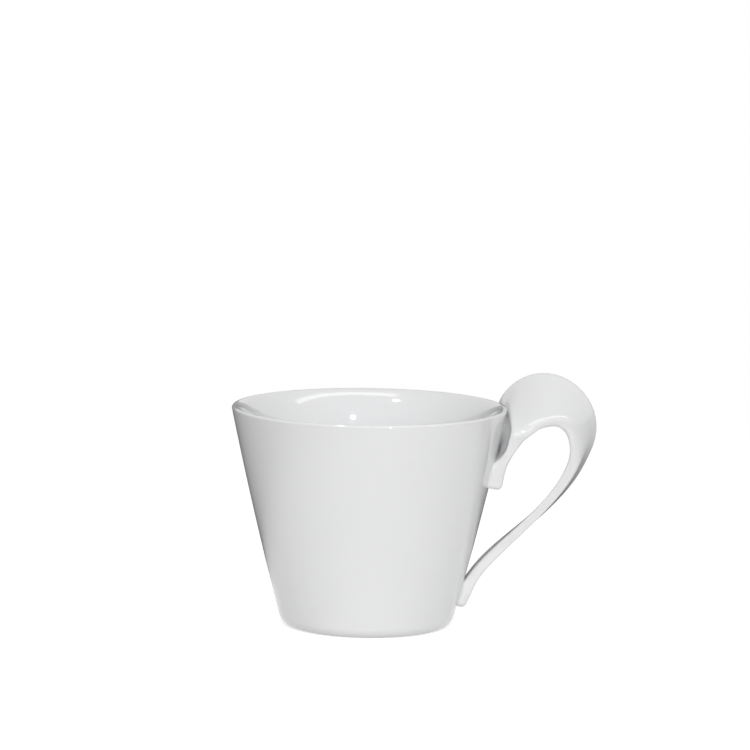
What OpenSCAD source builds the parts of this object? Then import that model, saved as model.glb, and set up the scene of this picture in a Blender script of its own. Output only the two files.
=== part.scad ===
// Espresso cup of glazed porcelain. The bowl and the ribbon handle are cast
// apart, and the handle's two feet are stuck to the wall with slip before firing.
// Millimetres. The origin is the centre of the foot ring on the table, +Z is up
// and the handle stands out along +X.

/* [Bowl] */
// Diameter of the outer wall's line at the height of the rim
rim_d = 65; // [60:0.5:72]
// Height from the table to the rim
cup_h = 52; // [48:0.5:58]
// Diameter of the outer wall's line where it would meet the table
base_d = 40.1; // [36:0.1:44]
// Outward bow of the wall at half height
wall_bow = 0.4; // [0.1:0.1:1.2]
// Thickness of the wall
wall_t = 3; // [2.6:0.1:3.6]
// Radius of the lip's outer edge
lip_r = 0.6; // [0.4:0.1:1]
// Height below the rim over which the inside thins the wall down to the lip
lip_taper = 8; // [5:0.5:11]
// Radius of the outside round between wall and base
base_round = 3.3; // [2:0.1:4]
// Radius of the inside round between wall and floor
floor_round = 9; // [6:0.5:11]
// Thickness of the floor
floor_t = 3.4; // [2.6:0.1:4.4]

/* [Foot ring] */
// Width of the flat ring that the cup rests on
foot_w = 2.2; // [1.5:0.1:3]
// Height of the recess inside the foot ring
foot_recess = 1.4; // [0.8:0.1:2]
// Run of the recess's sloping side
foot_slope = 1.2; // [0.6:0.1:2]

/* [Handle line] */
// Height of the upper foot's lower end above the table
upper_foot_z = 33.8; // [31:0.2:36]
// Length of the upper foot along the height of the wall
upper_foot_l = 7.4; // [5:0.2:8]
// Distance of the crown's centre outside the rim
crown_out = 9; // [8:0.2:11]
// Depth of the crown's centre below the rim
crown_drop = 6.5; // [5.5:0.1:7.5]
// Radius of the ribbon's middle line over the crown
crown_r = 8.6; // [7.8:0.1:9]
// Pull of the stem's curve as it leaves the crown
stem_pull_top = 15.6; // [12:0.2:18]
// Pull of the stem's curve as it nears the lower foot
stem_pull_low = 10.3; // [8:0.1:12]
// Height of the lower foot's lower end above the table
lower_foot_z = 4.8; // [4.2:0.1:6]
// Length of the lower foot along the height of the wall
lower_foot_l = 4.4; // [3.5:0.1:6]

/* [Handle ribbon] */
// Width of the ribbon at the upper foot
upper_w = 15; // [12:0.5:17]
// Width of the ribbon at the shoulder, where its back edge flares onto the rim
shoulder_w = 18.5; // [16:0.5:20]
// Width of the ribbon over the crown
crown_w = 16.5; // [14:0.1:18]
// Width of the ribbon at the outermost point of the loop
side_w = 9; // [8:0.2:11]
// Width of the stem
stem_w = 6; // [5:0.2:8]
// Thickness of the ribbon at the upper foot
upper_t = 2.3; // [1.8:0.1:3]
// Thickness of the ribbon over the crown
crown_t = 3; // [2.6:0.1:3.4]
// Thickness of the ribbon at the outermost point of the loop
side_t = 3.6; // [3:0.1:4.4]
// Thickness of the stem where it is slimmest
neck_t = 2.35; // [1.9:0.05:2.7]
// Thickness of the stem above the lower foot
stem_t = 2.5; // [2:0.1:3]
// Thickness of the lower foot where the stem meets the wall
lower_t = 2.1; // [1.6:0.1:2.6]
// Thickness of the lower foot at its end
lower_end_t = 1.3; // [1:0.1:2]
// Radius of the ribbon's long edges over the crown
crown_edge_r = 1.4; // [0.8:0.1:1.6]
// Radius of the long edges of the stem and the feet
edge_r = 0.7; // [0.5:0.1:0.9]
// Run of the round between the outer face and the front edge at the outermost point of the loop
side_roll = 6.5; // [4:0.1:7]
// Run of the round between the outer face and the front edge over the crown
crown_roll = 2; // [1.6:0.1:3]
// Drop of the ribbon's edges below its middle at the shoulder
arch = 0.7; // [0:0.1:1]
// Angle that the ribbon has twisted through where its back edge leaves the wall
shoulder_angle = 25; // [22:1:30]
// Angle of the twist over the crown
crown_angle = 39; // [34:1:46]
// Angle of the twist at the outermost point of the loop
side_angle = 29; // [24:1:34]
// Angle of the twist that is left at the slim part of the stem
neck_angle = 10; // [6:1:13]

/* [Slip] */
// Thickness of the slip between the wall and the handle's feet
slip_t = 0.4; // [0.3:0.05:0.6]
// Margin of slip squeezed out around each foot
slip_margin = 0.5; // [0.3:0.1:0.8]
// Gap left between faces that touch
seat_gap = 0.03; // [0.02:0.01:0.06]

/* [Hidden] */
$fn = 96;

rim_r = rim_d / 2;
base_r = base_d / 2;
floor_z = foot_recess + floor_t;

// Outer wall: radius, slope angle from vertical and outward normal at height z
function wall_r(z) = base_r + (rim_r - base_r) * z / cup_h
    + 4 * wall_bow * z / cup_h * (1 - z / cup_h);
function wall_lean(z) = atan((rim_r - base_r + 4 * wall_bow * (1 - 2 * z / cup_h)) / cup_h);
function wall_normal(z) = [cos(wall_lean(z)), -sin(wall_lean(z))];
// Point [radius, height] at a distance off the outer wall; below 0 is inside it
function on_wall(z, off) = [wall_r(z), z] + off * wall_normal(z);

function turned(r, angle) = r * [cos(angle), sin(angle)];
function arc(centre, r, from, to, steps) =
    [for (i = [0:steps]) centre + turned(r, from + (to - from) * i / steps)];

// Heights on the outer wall where the base round, the floor round and the lip run in
base_lean = wall_lean(base_round / 2);
base_top = base_round * (1 - sin(base_lean));
floor_lean = wall_lean(floor_z + floor_round / 2);
floor_top = floor_z + floor_round - (wall_t + floor_round) * sin(floor_lean);
lip_lean = wall_lean(cup_h);
lip_low = cup_h - lip_r * (1 + sin(lip_lean));
taper_low = cup_h - lip_taper;

base_centre = [on_wall(base_top, -base_round)[0], base_round];
floor_centre = [on_wall(floor_top, -wall_t - floor_round)[0], floor_z + floor_round];
lip_x = on_wall(lip_low, -lip_r)[0];
foot_in_r = base_centre[0] - foot_w;

// Inside of the lip: a quarter of a leaning ellipse, level at the crest and in line with
// the inner wall at its lower end
crest = [lip_x, cup_h];
taper_end = on_wall(taper_low, -wall_t);
taper_down = (crest[1] - taper_end[1]) * [-tan(wall_lean(taper_low)), -1];
taper_in = taper_end - crest - taper_down;
function lip_inside(angle) = crest + sin(angle) * taper_in + (1 - cos(angle)) * taper_down;

wall_steps = 16;
round_steps = 12;

bowl_outline = concat(
    [[0, foot_recess], [foot_in_r - foot_slope, foot_recess]],
    [[foot_in_r, 0]],
    arc(base_centre, base_round, -90, -base_lean, round_steps),
    [for (i = [1:wall_steps - 1]) on_wall(base_top + (lip_low - base_top) * i / wall_steps, 0)],
    arc([lip_x, cup_h - lip_r], lip_r, -lip_lean, 90, round_steps),
    [for (i = [1:round_steps]) lip_inside(90 * i / round_steps)],
    [for (i = [1:wall_steps - 1]) on_wall(taper_low + (floor_top - taper_low) * i / wall_steps, -wall_t)],
    arc(floor_centre, floor_round, -floor_lean, -90, round_steps),
    [[0, floor_z]]
);

module bowl() {
    color([0.93, 0.93, 0.94])
        rotate_extrude() polygon(bowl_outline);
}

// The handle is one ribbon, swept along a line in the XZ plane in five runs:
// 0 to 1 up the upper foot, 1 to 2 off the wall, 2 to 3 round the crown,
// 3 to 4 down the stem, 4 to 5 down the lower foot.
crown = [rim_r + crown_out, cup_h - crown_drop];
crown_start = 150;
upper_top = upper_foot_z + upper_foot_l;
lower_top = lower_foot_z + lower_foot_l;

function crown_point(angle) = crown + turned(crown_r, angle);
function bezier(p, q, r, s, t) =
    pow(1 - t, 3) * p + 3 * t * pow(1 - t, 2) * q + 3 * t * t * (1 - t) * r + pow(t, 3) * s;

upper_off = slip_t + upper_t / 2;
// The lower foot's inner face is trimmed by the wall, down to the thickness left there
lower_off = slip_t + lower_t - stem_t / 2;
lower_taper = lower_t - lower_end_t;
up_wall = [sin(wall_lean(upper_top)), cos(wall_lean(upper_top))];
up_wall_low = [sin(wall_lean(lower_top)), cos(wall_lean(lower_top))];
shoulder_from = on_wall(upper_top, upper_off);
shoulder_to = crown_point(crown_start);
shoulder_pull = norm(shoulder_to - shoulder_from) / 3;
onto_crown = [sin(crown_start), -cos(crown_start)];
stem_from = crown_point(0);
stem_to = on_wall(lower_top, lower_off);

function line_at(s) =
    s < 1 ? on_wall(upper_foot_z + upper_foot_l * s, upper_off)
    : s < 2 ? bezier(shoulder_from, shoulder_from + shoulder_pull * up_wall,
                     shoulder_to - shoulder_pull * onto_crown, shoulder_to, s - 1)
    : s < 3 ? crown_point(crown_start * (3 - s))
    : s < 4 ? bezier(stem_from, stem_from - [0, stem_pull_top],
                     stem_to + stem_pull_low * up_wall_low, stem_to, s - 3)
    : on_wall(lower_top - lower_foot_l * (s - 4), lower_off - lower_taper * (s - 4));

// Smooth curve through [s, value] keys, flat at both ends
function key_slope(k, i) = i == 0 || i == len(k) - 1 ? 0
    : (k[i + 1][1] - k[i - 1][1]) / (k[i + 1][0] - k[i - 1][0]);
function key_index(k, s) = max([for (i = [0:len(k) - 2]) if (i == 0 || k[i][0] <= s) i]);
function along(k, s) =
    let (i = key_index(k, s), h = k[i + 1][0] - k[i][0], t = (s - k[i][0]) / h)
    k[i][1] * (1 + 2 * t) * pow(1 - t, 2) + k[i + 1][1] * t * t * (3 - 2 * t)
    + h * (key_slope(k, i) * t * pow(1 - t, 2) - key_slope(k, i + 1) * t * t * (1 - t));

// Places where the ribbon's form is set, on the same count of runs as line_at
runs = [for (i = [0:5]) i];
foot_top = runs[1];
shoulder = runs[2];
crown_top = shoulder + 0.4;
crown_past = shoulder + 0.7;
loop_side = runs[3];
roll_end = loop_side + 0.1;
stem_turn = loop_side + 0.25;
neck = loop_side + 0.42;
stem_start = loop_side + 0.75;
stem_end = runs[4];
last_place = runs[5];
function mix(a, b, share) = a + (b - a) * share;
width_keys = [[0, upper_w], [foot_top + 0.3, upper_w], [shoulder - 0.1, shoulder_w],
              [crown_top, crown_w], [crown_past, mix(crown_w, side_w, 0.5)], [loop_side, side_w],
              [roll_end, mix(side_w, stem_w, 0.4)], [stem_turn, mix(side_w, stem_w, 0.72)],
              [neck, mix(side_w, stem_w, 0.95)], [stem_start, stem_w], [last_place, stem_w]];
angle_keys = [[0, 0], [foot_top - 0.2, 0], [foot_top + 0.3, shoulder_angle * 0.4],
              [shoulder, shoulder_angle], [crown_top, crown_angle], [crown_past, crown_angle],
              [loop_side, side_angle], [roll_end, mix(side_angle, neck_angle, 0.6)],
              [stem_turn, mix(side_angle, neck_angle, 0.8)], [neck, neck_angle],
              [stem_start, 0], [last_place, 0]];
thick_keys = [[0, upper_t], [foot_top, upper_t], [shoulder, crown_t], [crown_top, crown_t],
              [crown_past, mix(crown_t, side_t, 0.3)], [loop_side, side_t],
              [roll_end, mix(side_t, neck_t, 0.32)], [stem_turn, mix(side_t, neck_t, 0.76)],
              [neck, neck_t], [stem_start, stem_t], [last_place, stem_t]];
edge_keys = [[0, edge_r], [foot_top, edge_r], [crown_top, crown_edge_r], [loop_side, edge_r],
             [last_place, edge_r]];
roll_keys = [[0, edge_r], [shoulder - 0.4, edge_r], [shoulder + 0.1, crown_roll], [crown_top, crown_roll],
             [crown_past, mix(crown_roll, side_roll, 0.35)], [loop_side, side_roll],
             [roll_end, mix(side_roll, edge_r, 0.7)], [stem_turn, mix(side_roll, edge_r, 0.97)],
             [neck, edge_r], [last_place, edge_r]];
arch_keys = [[0, 0], [foot_top, 0], [shoulder - 0.1, arch], [crown_top, 0], [last_place, 0]];
// How far each face is run into the wall before it is trimmed to the slip. The outer
// face's front half lets go of the wall first, and its back half follows up to the rim.
dig = 1.5;
front_dig_keys = [[0, dig], [foot_top - 0.3, dig], [foot_top, 0], [last_place, 0]];
back_dig_keys = [[0, dig], [foot_top + 0.2, dig], [shoulder, 0], [last_place, 0]];
inner_dig_keys = [[0, 0], [stem_end - 0.1, 0], [stem_end + 0.1, dig], [last_place, dig]];

// Section points as [across, through]; across runs to the front edge, through to the outer face.
// Three corners have radius r; the front corner of the outer face is a quarter of an ellipse.
corner_steps = 4;
roll_steps = 8;
face_steps = 4;
function face_row(through, from, to) =
    [for (i = [1:face_steps]) [from + (to - from) * i / (face_steps + 1), through]];
function section(w, outer, inner, r, roll) =
    let (x = w / 2 - r, roll_x = w / 2 - roll, sink = min(roll, outer - inner - r - edge_flat))
    concat(
        arc([x, inner + r], r, -90, 0, corner_steps),
        [for (i = [0:roll_steps])
            let (angle = 90 * i / roll_steps)
            [roll_x + roll * cos(angle), outer - sink + sink * sin(angle)]],
        face_row(outer, roll_x, -x),
        arc([-x, outer - r], r, 90, 180, corner_steps),
        arc([-x, inner + r], r, 180, 270, corner_steps),
        face_row(inner, -x, x)
    );

// Least radius for the handle at height z: the slip's face on the wall, round the lip at the
// same distance, then straight up from the lip's crest
function least_r(z) = z <= lip_low ? wall_r(z) + slip_t
    : lip_x + sqrt(max(0, pow(lip_r + slip_t, 2) - pow(z - cup_h + lip_r, 2)));
// Moves a point that lies inside that radius out to it
function off_wall(p) =
    let (r = norm([p[0], p[1]]), least = least_r(p[2]))
    r < least ? [p[0] * least / r, p[1] * least / r, p[2]] : p;

// Blunt ends: each foot's last rings draw in by a quarter round
end_r = 0.9;
function end_draw(s) =
    let (d = min(s * upper_foot_l, (last_place - s) * lower_foot_l))
    d >= end_r ? 0 : end_r - sqrt(end_r * end_r - pow(end_r - d, 2));

tiny = 0.002;
// Least flat left on a long edge between its two rounds
edge_flat = 0.2;
function ring(s) =
    let (
        at = line_at(s),
        ahead = line_at(min(last_place, s + tiny)) - line_at(max(0, s - tiny)),
        dir = ahead / norm(ahead),
        out = [-dir[1], dir[0]],
        twist = along(angle_keys, s),
        draw = end_draw(s),
        w = along(width_keys, s) - 2 * draw,
        half_t = along(thick_keys, s) / 2,
        outer = half_t - (s > crown_top ? draw : 0),
        inner = -half_t + (s < crown_top ? draw : 0),
        edge = min(along(edge_keys, s), (outer - inner - edge_flat) / 2),
        front_dig = along(front_dig_keys, s),
        back_dig = along(back_dig_keys, s),
        inner_dig = along(inner_dig_keys, s),
        drop = along(arch_keys, s)
    )
    [for (p = section(w, outer, inner, edge, max(edge, along(roll_keys, s))))
        let (
            side = 2 * p[0] / w,
            outer_dig = mix(front_dig, back_dig, pow(min(0, side), 2)),
            dug = p[1] + (p[1] > 0 ? outer_dig : -inner_dig),
            through = dug - drop * side * side,
            across = -p[0] * sin(twist) + through * cos(twist),
            depth = -p[0] * cos(twist) - through * sin(twist)
        )
        off_wall([at[0] + out[0] * across, depth, at[1] + out[1] * across])];

// Shares of the end round at which its rings stand, and the count of rings on each run
end_share = [0, 0.12, 0.35, 0.65];
foot_rings = 6;
shoulder_rings = 12;
crown_rings = 24;
stem_rings = 36;
upper_end = end_r / upper_foot_l;
lower_end = end_r / lower_foot_l;
ring_places = concat(
    upper_end * end_share,
    [for (i = [0:foot_rings - 1]) upper_end + (foot_top - upper_end) * i / foot_rings],
    [for (i = [0:shoulder_rings - 1]) foot_top + i / shoulder_rings],
    [for (i = [0:crown_rings - 1]) shoulder + i / crown_rings],
    [for (i = [0:stem_rings - 1]) loop_side + i / stem_rings],
    [for (i = [0:foot_rings - 1]) stem_end + (1 - lower_end) * i / (foot_rings - 1)],
    [for (i = [len(end_share) - 1:-1:0]) last_place - lower_end * end_share[i]]
);

// Closed skin over rings of equal length, with a fan of triangles over each end
function middle(ring) = [for (p = ring) 1] * ring / len(ring);
module loft(rings) {
    n = len(rings[0]);
    last = len(rings) - 1;
    first_mid = (last + 1) * n;
    polyhedron(
        points = concat([for (r = rings) each r], [middle(rings[0]), middle(rings[last])]),
        faces = concat(
            [for (j = [0:last - 1]) for (i = [0:n - 1])
                [j * n + i, j * n + (i + 1) % n, (j + 1) * n + (i + 1) % n]],
            [for (j = [0:last - 1]) for (i = [0:n - 1])
                [j * n + i, (j + 1) * n + (i + 1) % n, (j + 1) * n + i]],
            [for (i = [0:n - 1]) [first_mid, (i + 1) % n, i]],
            [for (i = [0:n - 1]) [first_mid + 1, last * n + i, last * n + (i + 1) % n]]
        )
    );
}

module handle() {
    color([0.9, 0.9, 0.91])
        loft([for (s = ring_places) ring(s)]);
}

// Thin skin of slip on the wall: a foot's outline, given as [y, z] points, with a margin round it
slip_steps = 6;
function outward(p, q) = atan2(p[0] - q[0], q[1] - p[1]);
function corner_arc(before, corner, after) =
    let (from = outward(before, corner), to = outward(corner, after))
    arc(corner, slip_margin, from, to < from ? to + 360 : to, corner_steps);
function grown(outline) =
    let (n = len(outline))
    [for (i = [0:n - 1]) each corner_arc(outline[(i + n - 1) % n], outline[i], outline[(i + 1) % n])];
module slip_skin(low, high, outline) {
    step = (high - low + 2 * slip_margin) / slip_steps;
    heights = [for (i = [0:slip_steps]) low - slip_margin + step * i];
    intersection() {
        rotate_extrude() polygon(concat(
            [for (z = heights) [wall_r(z) + seat_gap, z]],
            [for (i = [slip_steps:-1:0]) [wall_r(heights[i]) + slip_t - seat_gap, heights[i]]]
        ));
        rotate([90, 0, 90]) linear_extrude(rim_r + crown_out) polygon(grown(outline));
    }
}

module upper_slip_joint() {
    side = upper_w / 2;
    flare = shoulder_w / 2 * cos(shoulder_angle);
    back_top = lip_low - slip_margin;
    outline = [[-side, upper_foot_z], [side, upper_foot_z], [flare, back_top], [-side, upper_top]];
    color([0.86, 0.86, 0.86]) slip_skin(upper_foot_z, back_top, outline);
}

module lower_slip_joint() {
    side = stem_w / 2;
    outline = [[-side, lower_foot_z], [side, lower_foot_z], [side, lower_top], [-side, lower_top]];
    color([0.86, 0.86, 0.86]) slip_skin(lower_foot_z, lower_top, outline);
}

bowl();
handle();
upper_slip_joint();
lower_slip_joint();
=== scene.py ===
"""The look of a porcelain espresso cup: a turned bowl, a ribbon handle and the slip that joins them.

Sizes are millimetres, as on a potter's drawing; mesh_piece() and the stage turn them into metres.
"""
import math

import bmesh
import bpy
import numpy as np
from mathutils import Matrix, Vector


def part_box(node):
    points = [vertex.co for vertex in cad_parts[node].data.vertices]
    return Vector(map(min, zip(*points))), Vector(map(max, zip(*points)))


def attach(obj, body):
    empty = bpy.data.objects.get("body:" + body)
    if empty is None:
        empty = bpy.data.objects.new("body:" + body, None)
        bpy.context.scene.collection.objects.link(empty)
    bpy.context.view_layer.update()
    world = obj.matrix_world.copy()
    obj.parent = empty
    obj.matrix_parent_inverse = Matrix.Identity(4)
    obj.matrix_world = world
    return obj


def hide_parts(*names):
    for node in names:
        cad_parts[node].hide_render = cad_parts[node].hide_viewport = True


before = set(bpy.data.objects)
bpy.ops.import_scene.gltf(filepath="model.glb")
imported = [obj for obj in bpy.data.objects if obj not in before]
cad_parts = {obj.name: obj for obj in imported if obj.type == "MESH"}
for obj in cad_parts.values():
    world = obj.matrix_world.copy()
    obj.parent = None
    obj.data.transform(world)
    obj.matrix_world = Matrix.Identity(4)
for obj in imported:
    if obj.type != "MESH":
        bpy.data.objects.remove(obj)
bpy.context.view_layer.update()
MM = 0.001

# Bowl
cup_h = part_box("bowl")[1].z / MM
rim_r = 32.5
base_r = 20.05
wall_bow = 0.4
wall_t = 3.0
lip_r = 0.6
lip_taper = 8.0
base_round = 3.3
floor_round = 9.0
floor_t = 3.4
foot_w = 2.2
foot_recess = 1.4
foot_slope = 1.2
foot_edge = 0.3
recess_round = 0.9
floor_z = foot_recess + floor_t

# Line of the handle, in five runs: up the upper foot, off the wall, round the crown,
# down the stem, down the lower foot
run_count = 5
upper_foot_z = 33.8
upper_foot_l = 7.4
crown_out = 9.0
crown_drop = 6.5
crown_r = 8.6
crown_start = math.radians(150)
stem_pull_top = 15.6
stem_pull_low = 10.3
lower_foot_z = 4.8
lower_foot_l = 4.4

# Ribbon of the handle
upper_w = 15.0
shoulder_w = 18.5
crown_w = 16.5
side_w = 9.0
stem_w = 6.0
upper_t = 2.3
crown_t = 3.0
side_t = 3.6
neck_t = 2.35
stem_t = 2.5
lower_t = 2.1
lower_end_t = 1.3
crown_edge_r = 1.4
crown_roll = 2.0
edge_r = 0.7
foot_edge_r = 1.05
edge_flat = 0.2
side_roll = 6.5
end_r = 1.4
arch = 0.7
shoulder_angle = math.radians(25)
crown_angle = math.radians(39)
side_angle = math.radians(29)
neck_angle = math.radians(10)
wall_dig = 1.5
fit_gap = 0.05

# Ridge along a crest that crosses the ribbon's upper root from its front edge, and the hollow behind it;
# their widths are shares of half the ribbon's width
ridge = 1.3
ridge_w = 0.7
ridge_fall = 0.25
hollow = 0.55
hollow_w = 1.2
# Brings the greatest value of t * t * (1 - t) to 1
scoop_peak = 27 / 4

# Slip squeezed out around each foot
slip_t = 0.4
slip_round = 0.9
slip_end = 0.2
slip_corner = 2.0
slip_fade = 3.0
slip_least = 0.12
slip_sunk = 0.04
slip_under = 0.5

# Depth of the glaze, as a share of its deepest: thin along the ribbon's edges, for edge_thin millimetres;
# changes of depth along the bowl's outline are smoothed over glaze_ease millimetres
edge_glaze = 0.1
face_glaze = 0.6
edge_thin = 3.0
glaze_ease = 1.2
slip_glaze_depth = 0.7

# Fineness of the meshes, and of the curves that they follow
sample_step = 0.1
line_samples = 6001
turn_steps = 256
wall_rows = 40
foot_rows = 6
floor_rows = 12
arc_rows = 14
lip_rows = 28
ribbon_step = 0.22
ribbon_ease = 1.0
end_rings = 9
corner_points = 8
face_points = 30
edge_points = 3
roll_points = 16
slip_step = 0.25
slip_rows = 10
slip_eases = 10
slip_end_points = 16


def wall_r(z):
    """Radius of the outer wall's line at height z."""
    share = z / cup_h
    return base_r + (rim_r - base_r) * share + 4 * wall_bow * share * (1 - share)


def wall_lean(z):
    """Angle of the outer wall from upright at height z."""
    return np.arctan((rim_r - base_r + 4 * wall_bow * (1 - 2 * z / cup_h)) / cup_h)


def on_wall(z, off):
    """Points [radius, height] at a distance off the outer wall, square to it."""
    lean = wall_lean(z)
    return np.stack([wall_r(z) + off * np.cos(lean), z - off * np.sin(lean)], -1)


base_lean = wall_lean(base_round / 2)
base_top = base_round * (1 - math.sin(base_lean))
floor_lean = wall_lean(floor_z + floor_round / 2)
floor_top = floor_z + floor_round - (wall_t + floor_round) * math.sin(floor_lean)
lip_lean = wall_lean(cup_h)
lip_low = cup_h - lip_r * (1 + math.sin(lip_lean))
lip_x = on_wall(lip_low, -lip_r)[0]
taper_low = cup_h - lip_taper
base_x = on_wall(base_top, -base_round)[0]
floor_x = on_wall(floor_top, -wall_t - floor_round)[0]
foot_in_r = base_x - foot_w


def outside_r(z, gap):
    """Radius at height z, a gap off the wall and its round lip, and straight up from the lip's crest."""
    rounded = lip_x + np.sqrt(np.maximum(0, (lip_r + gap) ** 2 - (z - cup_h + lip_r) ** 2))
    return np.where(z <= lip_low, wall_r(z) + gap, rounded)


def arc(x, z, r, start, end, steps=arc_rows):
    """Points on an arc round (x, z), angles in radians."""
    a = np.linspace(start, end, steps + 1)
    return np.stack([x + r * np.cos(a), z + r * np.sin(a)], -1)


def round_corner(before, corner, after, r, steps=5):
    """Points of an arc of radius r that replaces a corner of an outline."""
    corner = np.array(corner, float)
    to_before = np.array(before, float) - corner
    to_after = np.array(after, float) - corner
    to_before /= np.linalg.norm(to_before)
    to_after /= np.linalg.norm(to_after)
    half = math.acos(np.clip(to_before @ to_after, -1, 1)) / 2
    middle = to_before + to_after
    centre = corner + middle / np.linalg.norm(middle) * r / math.sin(half)
    first = corner + to_before * r / math.tan(half) - centre
    last = corner + to_after * r / math.tan(half) - centre
    start = math.atan2(first[1], first[0])
    sweep = (math.atan2(last[1], last[0]) - start + math.pi) % (2 * math.pi) - math.pi
    return arc(centre[0], centre[1], r, start, start + sweep, steps)


def lip_inside():
    """Points down the inside of the lip: a leaning quarter ellipse from its crest to the inner wall."""
    crest = np.array([lip_x, cup_h])
    end = on_wall(taper_low, -wall_t)
    down = (crest[1] - end[1]) * np.array([-math.tan(wall_lean(taper_low)), -1])
    inward = end - crest - down
    a = np.linspace(0, math.pi / 2, lip_rows + 1)[1:, None]
    return crest + np.sin(a) * inward + (1 - np.cos(a)) * down


def mesh_piece(name, points, faces, glaze=None):
    """A smooth mesh from points in millimetres, with the thickness of its glaze at each point."""
    mesh = bpy.data.meshes.new(name)
    mesh.from_pydata([tuple(p) for p in np.asarray(points) * MM], [], faces)
    shell = bmesh.new()
    shell.from_mesh(mesh)
    bmesh.ops.recalc_face_normals(shell, faces=shell.faces)
    shell.to_mesh(mesh)
    shell.free()
    mesh.polygons.foreach_set("use_smooth", [True] * len(mesh.polygons))
    if glaze is not None:
        layer = mesh.attributes.new("glaze_depth", "FLOAT", "POINT")
        layer.data.foreach_set("value", np.asarray(glaze, np.float32))
    piece = bpy.data.objects.new(name, mesh)
    bpy.context.scene.collection.objects.link(piece)
    return piece


def turn(name, outline, glaze):
    """Turns an outline of [radius, height] points, whose ends lie on the axis, into a closed shell."""
    angles = np.arange(turn_steps) * 2 * math.pi / turn_steps
    rows = outline[1:-1]
    points = [(r * math.cos(a), r * math.sin(a), z) for r, z in rows for a in angles]
    points += [(0, 0, outline[0][1]), (0, 0, outline[-1][1])]
    depth = list(np.repeat(glaze[1:-1], turn_steps)) + [glaze[0], glaze[-1]]
    first, last = len(points) - 2, len(points) - 1
    top = (len(rows) - 1) * turn_steps
    faces = []
    for i in range(turn_steps):
        j = (i + 1) % turn_steps
        faces.append((first, j, i))
        faces.append((last, top + i, top + j))
        for k in range(0, top, turn_steps):
            faces.append((k + i, k + j, k + turn_steps + j, k + turn_steps + i))
    return mesh_piece(name, points, faces, depth)


def closed_rings(name, rings, glaze, joined=False):
    """A skin over rings of equal length: capped at both ends, or joined last to first."""
    count, n = rings.shape[:2]
    points = list(rings.reshape(-1, 3))
    depth = list(np.asarray(glaze).reshape(-1))
    faces = []
    for k in range(count if joined else count - 1):
        here, there = k * n, (k + 1) % count * n
        for i in range(n):
            j = (i + 1) % n
            faces.append((here + i, here + j, there + j, there + i))
    if not joined:
        for start in (0, (count - 1) * n):
            points.append(np.mean(points[start:start + n], 0))
            depth.append(depth[start])
            faces += [(len(points) - 1, start + i, start + (i + 1) % n) for i in range(n)]
    return mesh_piece(name, points, faces, depth)


def level_line(radii, z):
    """Points [radius, height] along a level line."""
    return np.stack([radii, np.full(len(radii), z)], -1)


def make_bowl():
    """The bowl from the recess under it, up the outside, over the lip and down to the floor."""
    recess_edge = [foot_in_r - foot_slope, foot_recess]
    foot_inner = [foot_in_r, 0]
    foot_outer = [base_x, 0]
    up_wall = np.linspace(base_top, lip_low, wall_rows + 1)[1:-1]
    down_wall = np.linspace(taper_low, floor_top, wall_rows + 1)[1:-1]
    across_recess = np.linspace(0, recess_edge[0] - 2 * recess_round, foot_rows)
    across_foot = np.linspace(foot_in_r + 2 * foot_edge, base_x, foot_rows)[:-1]
    across_floor = np.linspace(floor_x, 0, floor_rows)[1:]
    quarter = math.pi / 2
    # Each run of the outline, with the glaze's thickness on it; None is bare clay
    runs = [
        (level_line(across_recess, foot_recess), 0.6),
        (round_corner([0, foot_recess], recess_edge, foot_inner, recess_round), 0.9),
        (round_corner(recess_edge, foot_inner, foot_outer, foot_edge), None),
        (level_line(across_foot, 0), None),
        (arc(base_x, base_round, base_round, -quarter, -base_lean), 0.4),
        (on_wall(up_wall, 0), 0.5),
        (arc(lip_x, cup_h - lip_r, lip_r, -lip_lean, quarter), 0.1),
        (lip_inside(), 0.5),
        (on_wall(down_wall, -wall_t), 0.9),
        (arc(floor_x, floor_z + floor_round, floor_round, -floor_lean, -quarter), 1.0),
        (level_line(across_floor, floor_z), 0.9),
    ]
    outline = np.concatenate([points for points, _ in runs])
    depth = np.concatenate([np.full(len(points), glaze or 0) for points, glaze in runs])
    bare = np.concatenate([np.full(len(points), glaze is None) for points, glaze in runs])
    place = np.r_[0, np.cumsum(np.linalg.norm(np.diff(outline, axis=0), axis=1))]
    even = np.arange(0, place[-1], sample_step)
    depth = ease(np.interp(even, place, depth), round(glaze_ease / sample_step))
    depth = np.interp(place, even, depth)
    bowl = turn("bowl_body", outline, depth)
    bare_low = np.nonzero(bare)[0].min()
    bare_high = np.nonzero(bare)[0].max() + 2
    for face in bowl.data.polygons:
        rows = [(v // turn_steps) + 1 for v in face.vertices]
        if bare_low <= min(rows) and max(rows) <= bare_high:
            face.material_index = 1
    return bowl


def ease(values, steps):
    """Smooths values along their first axis, and keeps both ends where they are."""
    reach = 3 * steps
    weight = np.exp(-0.5 * (np.arange(-reach, reach + 1) / steps) ** 2)
    weight /= weight.sum()
    values = np.asarray(values, float)
    head = 2 * values[:1] - values[reach:0:-1]
    tail = 2 * values[-1:] - values[-2:-reach - 2:-1]
    padded = np.concatenate([head, values, tail])
    if padded.ndim == 1:
        return np.convolve(padded, weight, "valid")
    return np.stack([np.convolve(column, weight, "valid") for column in padded.T], -1)


def mix(a, b, share):
    """The value at a share of the way from a to b."""
    return a + (b - a) * share


def smooth_step(t):
    """A share that leaves 0 and reaches 1 gently as t runs from 0 to 1."""
    return t * t * (3 - 2 * t)


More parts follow.
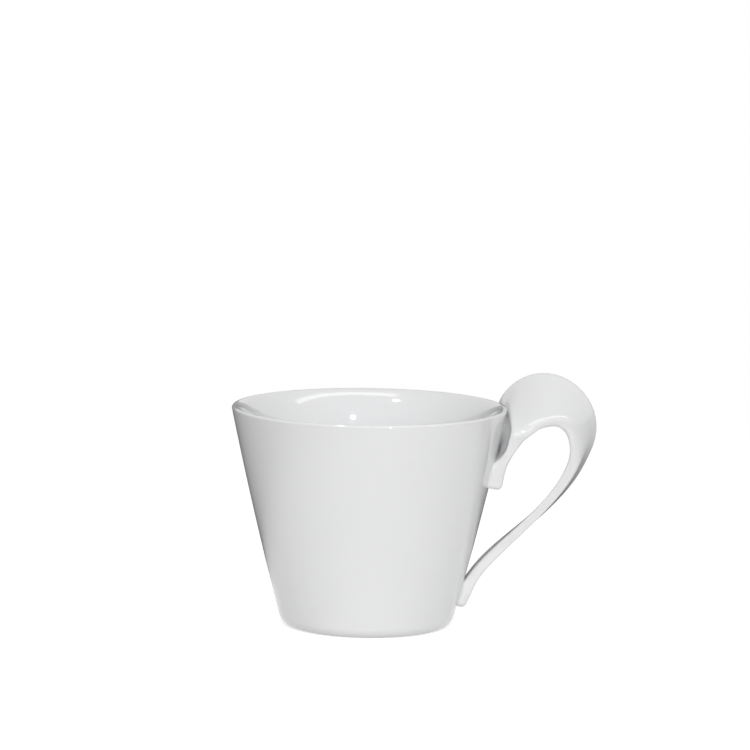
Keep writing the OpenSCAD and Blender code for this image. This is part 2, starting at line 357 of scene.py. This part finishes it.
def along(keys, s, level=False):
    """Smooth curve through (place, value) keys, flat at both ends, or level at each key."""
    at, value = np.array(keys, float).T
    slope = np.zeros(len(at))
    if not level:
        slope[1:-1] = (value[2:] - value[:-2]) / (at[2:] - at[:-2])
    i = np.clip(np.searchsorted(at, s, side="right") - 1, 0, len(at) - 2)
    h = at[i + 1] - at[i]
    t = (s - at[i]) / h
    between = mix(value[i], value[i + 1], smooth_step(t))
    return between + h * (slope[i] * t * (1 - t) ** 2 - slope[i + 1] * t * t * (1 - t))


def bezier(p, q, r, s, t):
    """Points of a cubic curve from p to s, pulled towards q and r, at the shares t of it."""
    t = t[:, None]
    return (1 - t) ** 3 * p + 3 * t * (1 - t) ** 2 * q + 3 * t * t * (1 - t) * r + t ** 3 * s


upper_top = upper_foot_z + upper_foot_l
lower_top = lower_foot_z + lower_foot_l


def ribbon_line(s):
    """Points [x, z] of the ribbon's middle line, where each of its five runs is 1 long in s."""
    run = np.minimum(s.astype(int), run_count - 1)
    t = s - run
    crown = np.array([rim_r + crown_out, cup_h - crown_drop])
    upper_off = slip_t + upper_t / 2
    lower_off = slip_t + lower_t - stem_t / 2
    lower_taper = lower_t - lower_end_t
    upper_lean, lower_lean = wall_lean(upper_top), wall_lean(lower_top)
    shoulder_from = on_wall(upper_top, upper_off)
    shoulder_to = crown + crown_r * np.array([math.cos(crown_start), math.sin(crown_start)])
    shoulder_pull = np.linalg.norm(shoulder_to - shoulder_from) / 3
    off_wall = shoulder_pull * np.array([math.sin(upper_lean), math.cos(upper_lean)])
    onto_crown = shoulder_pull * np.array([math.sin(crown_start), -math.cos(crown_start)])
    stem_from = crown + np.array([crown_r, 0])
    stem_to = on_wall(lower_top, lower_off)
    onto_foot = stem_pull_low * np.array([math.sin(lower_lean), math.cos(lower_lean)])
    angle = crown_start * (1 - t)
    runs = np.stack([
        on_wall(upper_foot_z + upper_foot_l * t, upper_off),
        bezier(shoulder_from, shoulder_from + off_wall, shoulder_to - onto_crown, shoulder_to, t),
        crown + crown_r * np.stack([np.cos(angle), np.sin(angle)], -1),
        bezier(stem_from, stem_from - [0, stem_pull_top], stem_to + onto_foot, stem_to, t),
        on_wall(lower_top - lower_foot_l * t, lower_off - lower_taper * t),
    ])
    return runs[run, np.arange(len(s))]


def ribbon_section(w, outer, inner, r, roll):
    """Points [across, through] round the ribbon: across runs to its front edge, through to its outer face.

    The outer face rolls over to the front edge in a quarter ellipse; the other corners have radius r.
    """
    x = w / 2 - r
    roll_x = w / 2 - roll
    sink = min(roll, outer - inner - r - edge_flat)
    quarter = math.pi / 2
    angles = np.linspace(0, quarter, roll_points + 1)
    outer_face = np.linspace(roll_x, -x, face_points + 2)[1:-1]
    inner_face = np.linspace(-x, x, face_points + 2)[1:-1]
    front_edge = np.linspace(inner + r, outer - sink, edge_points + 2)[1:-1]
    back_edge = np.linspace(outer - r, inner + r, edge_points + 2)[1:-1]
    return np.concatenate([
        arc(x, inner + r, r, -quarter, 0, corner_points),
        np.stack([np.full(edge_points, w / 2), front_edge], -1),
        np.stack([roll_x + roll * np.cos(angles), outer - sink + sink * np.sin(angles)], -1),
        np.stack([outer_face, np.full(face_points, outer)], -1),
        arc(-x, outer - r, r, quarter, 2 * quarter, corner_points),
        np.stack([np.full(edge_points, -w / 2), back_edge], -1),
        arc(-x, inner + r, r, 2 * quarter, 3 * quarter, corner_points),
        np.stack([inner_face, np.full(face_points, inner)], -1),
    ])


def ribbon_keys():
    """Keys of the ribbon's form along its line: those to run smoothly through, and those to be level at."""
    smooth = {
        "width": [(0, upper_w), (1.3, upper_w), (1.9, shoulder_w), (2.4, crown_w),
                  (2.7, mix(crown_w, side_w, 0.5)), (3, side_w), (3.1, mix(side_w, stem_w, 0.4)),
                  (3.25, mix(side_w, stem_w, 0.72)), (3.42, mix(side_w, stem_w, 0.95)),
                  (3.75, stem_w), (5, stem_w)],
        "angle": [(0, 0), (0.8, 0), (1.3, 0.4 * shoulder_angle), (2, shoulder_angle), (2.4, crown_angle),
                  (2.7, crown_angle), (3, side_angle), (3.1, mix(side_angle, neck_angle, 0.6)),
                  (3.25, mix(side_angle, neck_angle, 0.8)), (3.42, neck_angle), (3.75, 0), (5, 0)],
        "thick": [(0, upper_t), (1, upper_t), (2, crown_t), (2.4, crown_t), (2.7, mix(crown_t, side_t, 0.3)),
                  (3, side_t), (3.1, mix(side_t, neck_t, 0.32)), (3.25, mix(side_t, neck_t, 0.76)),
                  (3.42, neck_t), (3.75, stem_t), (5, stem_t)],
        "edge": [(0, foot_edge_r), (0.9, foot_edge_r), (1.4, edge_r), (2.4, crown_edge_r), (3, edge_r),
                 (3.9, edge_r), (4.3, foot_edge_r), (5, foot_edge_r)],
        "roll": [(0, edge_r), (1.6, edge_r), (2.1, crown_roll), (2.4, crown_roll),
                 (2.7, mix(crown_roll, side_roll, 0.35)), (3, side_roll), (3.1, mix(side_roll, edge_r, 0.7)),
                 (3.25, mix(side_roll, edge_r, 0.97)), (3.42, edge_r), (5, edge_r)],
        "arch": [(0, 0), (1, 0), (1.9, arch), (2.4, 0), (5, 0)],
        "crest": [(0, 0.95), (1.5, 0.95), (1.75, 0.8), (1.9, 0.5), (2.08, 0), (2.28, -0.5), (5, -0.5)],
        "front_dig": [(0, wall_dig), (0.7, wall_dig), (1, 0), (5, 0)],
        "back_dig": [(0, wall_dig), (1.2, wall_dig), (2, 0), (5, 0)],
        "inner_dig": [(0, 0), (3.9, 0), (4.1, wall_dig), (5, wall_dig)],
    }
    level = {
        "hollow": [(0, 0), (1, 0), (1.35, hollow), (1.75, hollow), (2.1, 0), (5, 0)],
        "ridge": [(0, 0), (1.2, 0), (1.65, ridge), (1.87, ridge), (2.25, 0), (5, 0)],
    }
    return smooth, level


def ribbon_form():
    """Evenly spaced distances along the ribbon's line, and its points, headings and form at each."""
    fine = np.linspace(0, run_count, line_samples)
    line = ribbon_line(fine)
    length = np.r_[0, np.cumsum(np.linalg.norm(np.diff(line, axis=0), axis=1))]
    even = np.arange(0, length[-1], sample_step)
    s = np.interp(even, length, fine)
    steps = round(ribbon_ease / sample_step)
    places = ease(ribbon_line(s), steps)
    heading = np.gradient(places, axis=0)
    heading /= np.linalg.norm(heading, axis=1)[:, None]
    smooth, level = ribbon_keys()
    form = {name: ease(along(keys, s), steps) for name, keys in smooth.items()}
    for name, keys in level.items():
        form[name] = ease(along(keys, s, level=True), steps)
    return even, places, heading, form


def push_out(side, now):
    """How far the outer face is pushed out, at sides from -1 on its back edge to 1 on its front edge."""
    push = mix(now["front_dig"], now["back_dig"], np.minimum(0, side) ** 2)
    from_crest = side - now["crest"]
    scoop = np.clip(1 + from_crest / hollow_w, 0, 1)
    rise = np.clip(1 + from_crest / ridge_w, 0, 1)
    fall = np.clip(from_crest / max(ridge_fall, 1 - now["crest"]), 0, 1)
    push = push - now["hollow"] * scoop_peak * scoop ** 2 * (1 - scoop)
    return push + now["ridge"] * smooth_step(rise) * (1 - smooth_step(fall))


def ribbon_rings():
    """Rings of the handle, how far each point stood off the wall before it was trimmed, and its glaze."""
    even, places, heading, form = ribbon_form()
    end = end_r * (1 - np.cos(np.linspace(0, math.pi / 2, end_rings)))
    middle = np.arange(end_r + ribbon_step, even[-1] - end_r, ribbon_step)
    rings, clear, glaze = [], [], []
    for d in np.r_[end, middle, even[-1] - end[::-1]]:
        at = [np.interp(d, even, column) for column in places.T]
        go = [np.interp(d, even, column) for column in heading.T]
        now = {name: np.interp(d, even, values) for name, values in form.items()}
        near_end = min(d, even[-1] - d)
        draw = 0 if near_end >= end_r else end_r - math.sqrt(end_r ** 2 - (end_r - near_end) ** 2)
        upper = d < even[-1] / 2
        w = now["width"] - 2 * draw
        outer = now["thick"] / 2 - (0 if upper else draw)
        inner = -now["thick"] / 2 + (draw if upper else 0)
        r = min(now["edge"], (outer - inner - edge_flat) / 2)
        across, through = ribbon_section(w, outer, inner, r, max(r, now["roll"])).T
        side = 2 * across / w
        share = (through - inner) / (outer - inner)
        deep = through + mix(-now["inner_dig"], push_out(side, now), share)
        deep = deep - now["arch"] * side ** 2
        cos, sin = math.cos(now["angle"]), math.sin(now["angle"])
        lift = -across * sin + deep * cos
        x = at[0] - go[1] * lift
        y = -across * cos - deep * sin
        z = at[1] + go[0] * lift
        radius = np.hypot(x, y)
        least = outside_r(z, fit_gap)
        trim = np.maximum(1, least / radius)
        rings.append(np.stack([x * trim, y * trim, z], -1))
        clear.append(radius - least)
        from_edge = np.minimum(w / 2 - np.abs(across), edge_thin) / edge_thin
        glaze.append(mix(edge_glaze, face_glaze, from_edge))
    return np.array(rings), np.array(clear), np.array(glaze)


def along_ring(ring, start, step):
    """Point on a ring at slip_round from a point of it, given by its place, towards step 1 or -1."""
    n = len(ring)
    i = math.floor(start) if step < 0 else math.ceil(start)
    here = mix(ring[math.floor(start) % n], ring[math.ceil(start) % n], start % 1)
    left = slip_round
    while True:
        there = ring[i % n]
        span = np.linalg.norm(there - here)
        if span >= left:
            return mix(here, there, left / span)
        left -= span
        here = there
        i += step


def foot_contact(rings, clear):
    """A loop of points where a foot meets the wall, and points beside them on the foot's side."""
    front, back = [], []
    for ring, off in zip(rings, clear):
        ahead = np.roll(off, -1)
        leaves = np.nonzero((off <= 0) & (ahead > 0))[0]
        lands = np.nonzero((off > 0) & (ahead <= 0))[0]
        if len(leaves) != 1 or len(lands) != 1:
            continue
        ends = []
        for i, step in ((leaves[0], 1), (lands[0], -1)):
            place = i + off[i] / (off[i] - ahead[i])
            at = mix(ring[i], ring[(i + 1) % len(ring)], place - i)
            ends.append((at, along_ring(ring, place, step)))
        ends.sort(key=lambda pair: pair[0][1])
        front.append(ends[0])
        back.append(ends[1])
    return front, back


def even_loop(rows):
    """Rows of values round a closed loop, whose first three are its points, spaced evenly and eased."""
    rows = np.concatenate([rows, rows[:1]])
    length = np.r_[0, np.cumsum(np.linalg.norm(np.diff(rows[:, :3], axis=0), axis=1))]
    count = int(length[-1] / slip_step)
    even = np.arange(count) * length[-1] / count
    rows = np.stack([np.interp(even, length, column) for column in rows.T], -1)
    for _ in range(slip_eases):
        rows = (np.roll(rows, 1, 0) + 2 * rows + np.roll(rows, -1, 0)) / 4
    return rows


def off_bowl(points, off):
    """Points moved along their radius to lie a distance off the bowl's outside."""
    radius = outside_r(points[:, 2], 0) + off
    now = np.hypot(points[:, 0], points[:, 1])
    return np.stack([points[:, 0] * radius / now, points[:, 1] * radius / now, points[:, 2]], -1)


def end_contact(front, back):
    """Points where a foot's end meets the wall, from back to front, and points beside them on the end."""
    share = np.linspace(0, 1, slip_end_points + 2)[1:-1, None]
    at = off_bowl(mix(back[0][0], front[0][0], share), 0)
    lean = wall_lean(at[:, 2])
    out = np.hypot(at[:, 0], at[:, 1])
    beside = at * np.stack([1 + slip_round * np.cos(lean) / out] * 2 + [np.ones(len(at))], -1)
    beside[:, 2] -= slip_round * np.sin(lean)
    return at, beside


def make_slip(name, rings, clear):
    """A hollow round of slip from the wall up to a foot's sides, which fades out under the rim.

    The rings run from the foot's end. The round is smaller across that end.
    """
    front, back = foot_contact(rings, clear)
    sides = []
    for at, to in front + back[::-1]:
        near = min(1, abs(at[2] - front[0][0][2]) / slip_corner)
        sides.append(np.r_[at, to, mix(slip_end, slip_round, smooth_step(near))])
    end_at, end_to = end_contact(front, back)
    across_end = np.concatenate([end_at, end_to, np.full((slip_end_points, 1), slip_end)], 1)
    rows = even_loop(np.concatenate([sides, across_end]))
    loop, beside, full_size = rows[:, :3], rows[:, 3:6], rows[:, 6]
    ahead = np.roll(loop, -1, 0) - np.roll(loop, 1, 0)
    side = np.cross(ahead, loop * [1, 1, 0])
    side /= np.linalg.norm(side, axis=1)[:, None]
    side *= math.copysign(1, np.sum(side * (loop - loop.mean(0))))
    room = np.clip((lip_low - loop[:, 2]) / slip_fade, 0, 1)
    size = mix(slip_least, full_size, smooth_step(room))[:, None]
    root = off_bowl(loop, 0)
    foot_side = root + (beside - loop) * size / slip_round
    wall_side = off_bowl(root + side * size, 0)
    inside = root - slip_under * side * size
    loops = [off_bowl(wall_side, -slip_sunk)]
    for t in np.linspace(0, 1, slip_rows):
        loops.append((1 - t) ** 2 * wall_side + 2 * t * (1 - t) * root + t * t * foot_side)
    loops.append(foot_side - slip_under * side * size)
    loops.append(off_bowl(inside, -slip_sunk))
    loops = np.array(loops)
    return closed_rings(name, loops, np.full(loops.shape[:2], slip_glaze_depth), joined=True)


def new_group(name, inputs, outputs):
    """An empty shader group with named sockets, and its two end nodes."""
    group = bpy.data.node_groups.new(name, "ShaderNodeTree")
    for socket, kind in inputs:
        group.interface.new_socket(name=socket, in_out="INPUT", socket_type=kind)
    for socket, kind in outputs:
        group.interface.new_socket(name=socket, in_out="OUTPUT", socket_type=kind)
    return group, group.nodes.new("NodeGroupInput"), group.nodes.new("NodeGroupOutput")


def add_node(tree, kind, **settings):
    """A node with its own settings; keys that name an input set that input's value."""
    node = tree.nodes.new(kind)
    for key, value in settings.items():
        if key in node.inputs:
            node.inputs[key].default_value = value
        else:
            setattr(node, key, value)
    return node


def map_range(tree, value, low, high, start=0, end=1, **settings):
    """A node's output that runs from low to high while a value runs from start to end."""
    node = add_node(tree, "ShaderNodeMapRange", **settings)
    for key, number in (("From Min", start), ("From Max", end), ("To Min", low), ("To Max", high)):
        node.inputs[key].default_value = number
    tree.links.new(value, node.inputs["Value"])
    return node.outputs["Result"]


def glaze_group():
    """Clear glaze over porcelain: its tone by thickness, its gloss, and the faint ripple of its skin."""
    number, colour = "NodeSocketFloat", "NodeSocketColor"
    group, ins, outs = new_group(
        "glaze_skin",
        [("Thin Colour", colour), ("Thick Colour", colour), ("Thickness", number), ("Ripple", number)],
        [("Colour", colour), ("Roughness", number), ("Height", number)],
    )
    link = group.links.new
    place = add_node(group, "ShaderNodeTexCoord").outputs["Object"]
    ripple = add_node(group, "ShaderNodeTexNoise", Scale=95.0, Detail=1.5, Roughness=0.4)
    cloud = add_node(group, "ShaderNodeTexNoise", Scale=60.0, Detail=3.0, Roughness=0.6)
    pits = add_node(group, "ShaderNodeTexVoronoi", Scale=700.0)
    for texture in (ripple, cloud, pits):
        link(place, texture.inputs["Vector"])
    depth = add_node(group, "ShaderNodeMath", operation="ADD", use_clamp=True)
    link(ins.outputs["Thickness"], depth.inputs[0])
    link(map_range(group, cloud.outputs["Fac"], -0.22, 0.22), depth.inputs[1])
    tone = add_node(group, "ShaderNodeMix", data_type="RGBA")
    link(depth.outputs[0], tone.inputs["Factor"])
    link(ins.outputs["Thin Colour"], tone.inputs[6])
    link(ins.outputs["Thick Colour"], tone.inputs[7])
    link(tone.outputs[2], outs.inputs["Colour"])
    link(map_range(group, cloud.outputs["Fac"], 0.035, 0.07), outs.inputs["Roughness"])
    wave = add_node(group, "ShaderNodeMath", operation="MULTIPLY_ADD")
    link(ripple.outputs["Fac"], wave.inputs[0])
    link(ins.outputs["Ripple"], wave.inputs[1])
    link(map_range(group, pits.outputs["Distance"], -0.02, 0, end=0.12), wave.inputs[2])
    link(wave.outputs[0], outs.inputs["Height"])
    return group


def glazed_porcelain(name, skin, thin, thick, ripple):
    """White porcelain under a clear gloss glaze."""
    material = bpy.data.materials.new(name)
    material.use_nodes = True
    tree = material.node_tree
    shader = tree.nodes["Principled BSDF"]
    shader.inputs["IOR"].default_value = 1.5
    group = add_node(tree, "ShaderNodeGroup", node_tree=skin)
    group.inputs["Thin Colour"].default_value = (*thin, 1)
    group.inputs["Thick Colour"].default_value = (*thick, 1)
    group.inputs["Ripple"].default_value = ripple
    depth = add_node(tree, "ShaderNodeAttribute", attribute_name="glaze_depth")
    bump = add_node(tree, "ShaderNodeBump", Strength=1.0, Distance=MM)
    link = tree.links.new
    link(depth.outputs["Fac"], group.inputs["Thickness"])
    link(group.outputs["Colour"], shader.inputs["Base Color"])
    link(group.outputs["Roughness"], shader.inputs["Roughness"])
    link(group.outputs["Height"], bump.inputs["Height"])
    link(bump.outputs["Normal"], shader.inputs["Normal"])
    return material


def bare_clay():
    """The unglazed foot ring: fine dry grain, a little darker where it has rubbed on the table."""
    material = bpy.data.materials.new("bare_foot_clay")
    material.use_nodes = True
    tree = material.node_tree
    shader = tree.nodes["Principled BSDF"]
    place = add_node(tree, "ShaderNodeTexCoord").outputs["Object"]
    grain = add_node(tree, "ShaderNodeTexNoise", Scale=2600.0, Detail=4.0, Roughness=0.7)
    rub = add_node(tree, "ShaderNodeTexNoise", Scale=140.0, Detail=3.0)
    tone = add_node(tree, "ShaderNodeValToRGB")
    tone.color_ramp.elements[0].position = 0.3
    tone.color_ramp.elements[0].color = (0.66, 0.63, 0.59, 1)
    tone.color_ramp.elements[1].position = 0.7
    tone.color_ramp.elements[1].color = (0.8, 0.78, 0.74, 1)
    bump = add_node(tree, "ShaderNodeBump", Strength=0.6, Distance=0.02 * MM)
    link = tree.links.new
    link(place, grain.inputs["Vector"])
    link(place, rub.inputs["Vector"])
    link(rub.outputs["Fac"], tone.inputs["Fac"])
    link(tone.outputs["Color"], shader.inputs["Base Color"])
    link(map_range(tree, grain.outputs["Fac"], 0.62, 0.85), shader.inputs["Roughness"])
    link(grain.outputs["Fac"], bump.inputs["Height"])
    link(bump.outputs["Normal"], shader.inputs["Normal"])
    return material


# Pieces of the cup
bowl = make_bowl()
rings, clear, ribbon_glaze = ribbon_rings()
handle = closed_rings("ribbon_handle", rings, ribbon_glaze)
half = len(rings) // 2
upper_slip = make_slip("upper_slip_bead", rings[:half], clear[:half])
lower_slip = make_slip("lower_slip_bead", rings[:half - 1:-1], clear[:half - 1:-1])

skin = glaze_group()
thin_white, pooled_white = (0.9, 0.9, 0.9), (0.86, 0.865, 0.875)
bowl_glaze = glazed_porcelain("bowl_gloss_glaze", skin, thin_white, pooled_white, 0.012)
handle_glaze = glazed_porcelain("handle_gloss_glaze", skin, thin_white, pooled_white, 0.008)
slip_glaze = glazed_porcelain("slip_gloss_glaze", skin, (0.88, 0.88, 0.88), (0.84, 0.845, 0.855), 0.004)
for piece, node, slot, finishes in (
    (bowl, "bowl", "bowl_glaze", [bowl_glaze, bare_clay()]),
    (handle, "handle", "handle_glaze", [handle_glaze]),
    (upper_slip, "upper_slip_joint", "slip", [slip_glaze]),
    (lower_slip, "lower_slip_joint", "slip", [slip_glaze]),
):
    for finish in finishes:
        piece.data.materials.append(finish)
    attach(piece, "root")
    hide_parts(node)


def seen_as_background(tree):
    """1 where a ray shows the background: from the camera, in a reflection or through glass."""
    path = add_node(tree, "ShaderNodeLightPath")
    total = path.outputs["Is Camera Ray"]
    for ray in ("Is Glossy Ray", "Is Transmission Ray"):
        both = add_node(tree, "ShaderNodeMath", operation="ADD", use_clamp=True)
        tree.links.new(total, both.inputs[0])
        tree.links.new(path.outputs[ray], both.inputs[1])
        total = both.outputs[0]
    return total


def stage_ring(name, rings, centre=(0, 0), steps=128):
    """A skin over oval rings round the cup, each given as (x radius, y radius, height), for the stage."""
    points = [(centre[0] + x * math.cos(a), centre[1] + y * math.sin(a), z)
              for x, y, z in rings for a in np.arange(steps) * 2 * math.pi / steps]
    faces = []
    for k in range(len(rings) - 1):
        here, there = k * steps, (k + 1) * steps
        for i in range(steps):
            j = (i + 1) % steps
            faces.append((here + i, here + j, there + j, there + i))
    piece = mesh_piece(name, points, faces)
    return piece


# Stage. The floor fades out between two distances in metres, and the dark cloth comes in between two shares
# of its oval; their other sizes are millimetres
floor_grey = 0.8
floor_lift = 0.6
floor_fade_from = 0.1
floor_fade_to = 0.4
floor_rings = (0.5, 200, floor_fade_to / MM)
cloth_grey = 0.05
cloth_from = 0.8
cloth_to = 1.45
cloth_z = 1
cloth_reach = 1200
cloth_top = 330
ambient = 0.4


def matt_material(name, grey):
    """A dull material of one grey, and its shader."""
    material = bpy.data.materials.new(name)
    material.use_nodes = True
    shader = material.node_tree.nodes["Principled BSDF"]
    shader.inputs["Base Color"].default_value = (grey, grey, grey, 1)
    shader.inputs["Roughness"].default_value = 1
    shader.inputs["Specular IOR Level"].default_value = 0
    return material, shader


def fade_surface(tree, place, start, end, near, far):
    """Turns a near surface into a far one while a place's distance from its origin runs from start to end."""
    away = add_node(tree, "ShaderNodeVectorMath", operation="LENGTH")
    blend = add_node(tree, "ShaderNodeMixShader")
    link = tree.links.new
    link(place, away.inputs[0])
    share = map_range(tree, away.outputs["Value"], 0, 1, start, end, interpolation_type="SMOOTHSTEP")
    link(share, blend.inputs["Fac"])
    link(near.outputs["BSDF"], blend.inputs[1])
    link(far.outputs["BSDF"], blend.inputs[2])
    link(blend.outputs["Shader"], tree.nodes["Material Output"].inputs["Surface"])


def make_floor():
    """A pale floor that keeps the cup's shadow and fades out into the white background."""
    floor = stage_ring("floor", [(r, r, 0) for r in floor_rings])
    material, shader = matt_material("pale_floor", floor_grey)
    tree = material.node_tree
    shader.inputs["Emission Color"].default_value = (1, 1, 1, 1)
    lift = map_range(tree, seen_as_background(tree), 0, floor_lift)
    tree.links.new(lift, shader.inputs["Emission Strength"])
    place = add_node(tree, "ShaderNodeTexCoord").outputs["Object"]
    nothing = add_node(tree, "ShaderNodeBsdfTransparent")
    fade_surface(tree, place, floor_fade_from, floor_fade_to, shader, nothing)
    floor.data.materials.append(material)


def make_surround():
    """Dark cloth around the white table top, which only reflections show; its oval edge is soft."""
    wide, deep = 130, 92
    middle_x, middle_y = 44, -40
    cloth = stage_ring(
        "dark_surround",
        [
            (cloth_from * wide, cloth_from * deep, cloth_z),
            (cloth_reach, cloth_reach, cloth_z),
            (cloth_reach, cloth_reach, cloth_top),
        ],
        centre=(middle_x, middle_y),
    )
    material, shader = matt_material("dark_cloth", cloth_grey)
    tree = material.node_tree
    oval = add_node(tree, "ShaderNodeMapping")
    oval.inputs["Location"].default_value = (-middle_x / wide, -middle_y / deep, 0)
    oval.inputs["Scale"].default_value = (1 / (wide * MM), 1 / (deep * MM), 0)
    tree.links.new(add_node(tree, "ShaderNodeTexCoord").outputs["Object"], oval.inputs["Vector"])
    nothing = add_node(tree, "ShaderNodeBsdfTransparent")
    fade_surface(tree, oval.outputs["Vector"], cloth_from, cloth_to, nothing, shader)
    cloth.data.materials.append(material)
    for ray in ("camera", "diffuse", "transmission", "volume_scatter", "shadow"):
        setattr(cloth, "visible_" + ray, False)


def make_world():
    """White to the camera and in reflections, and a soft even fill for the cup."""
    world = bpy.data.worlds.new("studio")
    world.use_nodes = True
    tree = world.node_tree
    background = tree.nodes["Background"]
    background.inputs["Color"].default_value = (1, 1, 1, 1)
    level = map_range(tree, seen_as_background(tree), ambient, 1)
    tree.links.new(level, background.inputs["Strength"])
    bpy.context.scene.world = world


cup_middle = Vector((0, 0, 0.5 * cup_h * MM))


def lamp(name, azimuth, elevation, distance, wide, high, power, aside=0, lights=True, in_gloss=False):
    """A softbox aimed at the cup, its width level; azimuth 0 is the camera's side and 90 the handle's."""
    data = bpy.data.lights.new(name, "AREA")
    data.shape = "RECTANGLE"
    data.size = wide
    data.size_y = high
    data.energy = power
    light = bpy.data.objects.new(name, data)
    a, e = math.radians(azimuth), math.radians(elevation)
    away = Vector((math.sin(a) * math.cos(e), -math.cos(a) * math.cos(e), math.sin(e)))
    level = Vector((math.cos(a), math.sin(a), 0))
    pose = Matrix((level, away.cross(level), away)).transposed().to_4x4()
    pose.translation = cup_middle + away * distance + level * aside
    light.matrix_world = pose
    light.visible_diffuse = lights
    light.visible_glossy = in_gloss
    bpy.context.scene.collection.objects.link(light)


def make_camera():
    """The camera at the photograph's angle, with its slight roll."""
    elevation = math.radians(7.552)
    roll = math.radians(0.836)
    distance = 1100 * MM
    target = Vector((1.174, 0, 59.41)) * MM
    frame_pixels = 750
    focal_pixels = 4679.9
    data = bpy.data.cameras.new("camera")
    data.sensor_width = 36
    data.lens = focal_pixels / frame_pixels * data.sensor_width
    camera = bpy.data.objects.new("camera", data)
    back = Vector((0, -math.cos(elevation), math.sin(elevation)))
    right = Vector((1, 0, 0))
    up = back.cross(right)
    tilted_right = right * math.cos(roll) + up * math.sin(roll)
    tilted_up = up * math.cos(roll) - right * math.sin(roll)
    pose = Matrix((tilted_right, tilted_up, back)).transposed().to_4x4()
    pose.translation = target + back * distance
    camera.matrix_world = pose
    bpy.context.scene.collection.objects.link(camera)
    bpy.context.scene.camera = camera


make_floor()
make_surround()
make_world()
# Azimuth and elevation in degrees; distance, width and height in metres; power in watts
lamp("front_softbox", 4, 22, 1.2, 0.6, 0.5, 6.6)
lamp("overhead_softbox", 0, 83, 0.9, 0.95, 0.3, 0.95, aside=0.09)
lamp("high_glint", 8, 66, 0.9, 1.5, 0.2, 3.6, aside=0.4, lights=False, in_gloss=True)
lamp("back_softbox", 180, 12, 1.2, 0.6, 0.5, 2.5)
lamp("left_glint", -30, 45, 1.0, 0.07, 0.07, 4, lights=False, in_gloss=True)
lamp("right_glint", 17, 21.5, 1.0, 0.06, 0.06, 2.5, lights=False, in_gloss=True)
make_camera()
bpy.context.scene.view_settings.view_transform = "Standard"
